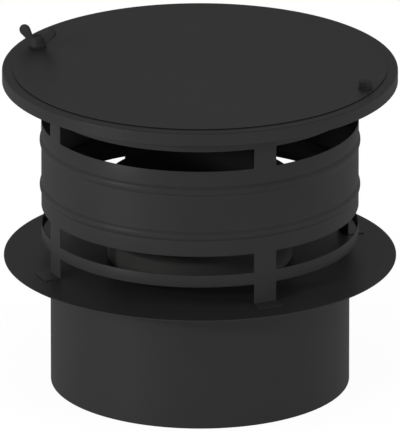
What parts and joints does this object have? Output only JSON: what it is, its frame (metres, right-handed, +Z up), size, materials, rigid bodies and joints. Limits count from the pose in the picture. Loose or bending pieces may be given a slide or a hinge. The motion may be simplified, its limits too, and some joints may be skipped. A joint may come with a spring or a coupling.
{
  "type": "chimney top section",
  "caption": "Round insulated chimney top section with cover flange, wind band cage and a flat rain hat that swings aside.",
  "frame": {"origin": "centre of the casing's lower end, on the plane the section stands on", "axes": "+Z up along the flue; +X towards the hat's pivot bolt, -X towards its wing nut"},
  "size_m": [0.33, 0.33, 0.2934],
  "materials": {
    "black_sheet": "satin",
    "black_flue_pipe": "matte",
    "black_fasteners": "satin",
    "zinc_fasteners": "satin",
    "zinc_sheet": "satin",
    "mineral_wool": "matte"
  },
  "bodies": {
    "stack": {"outer_casing": "black_sheet", "base_ring": "zinc_sheet", "inner_pipe": "black_flue_pipe", "insulation": "mineral_wool", "centring_clips": "zinc_sheet", "flange_plate": "black_sheet", "upright_1": "black_sheet", "upright_2": "black_sheet", "upright_3": "black_sheet", "upright_4": "black_sheet", "lower_ring": "black_sheet", "wind_band": "black_sheet", "neck_ring": "black_sheet", "top_ring": "black_sheet", "pivot_bolt": "black_fasteners", "pivot_sleeve": "zinc_fasteners", "pivot_washer_top": "black_fasteners", "pivot_washer_bottom": "zinc_fasteners", "pivot_nut": "zinc_fasteners"},
    "rain_hat": {"rim_ring": "black_sheet", "lid_disc": "black_sheet", "clamp_sleeve": "zinc_fasteners", "clamp_washer": "black_fasteners"},
    "wing_nut": {"wing_nut": "black_fasteners"},
    "clamp_bolt": {"clamp_bolt": "black_fasteners"}
  },
  "joints": [
    {"name": "hat_swing", "type": "hinge", "parent": "stack", "child": "rain_hat", "pos_m": [0.147, 0, 0.2742], "axis": [0, 0, 1], "range_deg": [0, 180]},
    {"name": "wing_nut_turn", "type": "hinge", "parent": "rain_hat", "child": "wing_nut", "pos_m": [-0.145, 0, 0.2804], "axis": [0, 0, 1], "range_deg": [0, 720]},
    {"name": "clamp_bolt_drop", "type": "slide", "parent": "rain_hat", "child": "clamp_bolt", "axis": [0, 0, -1], "range_m": [0, 0.002]}
  ],
  "couplings": [
    {"joint": "wing_nut_turn", "follows": "clamp_bolt_drop", "rad_per_m": 6283.2}
  ]
}
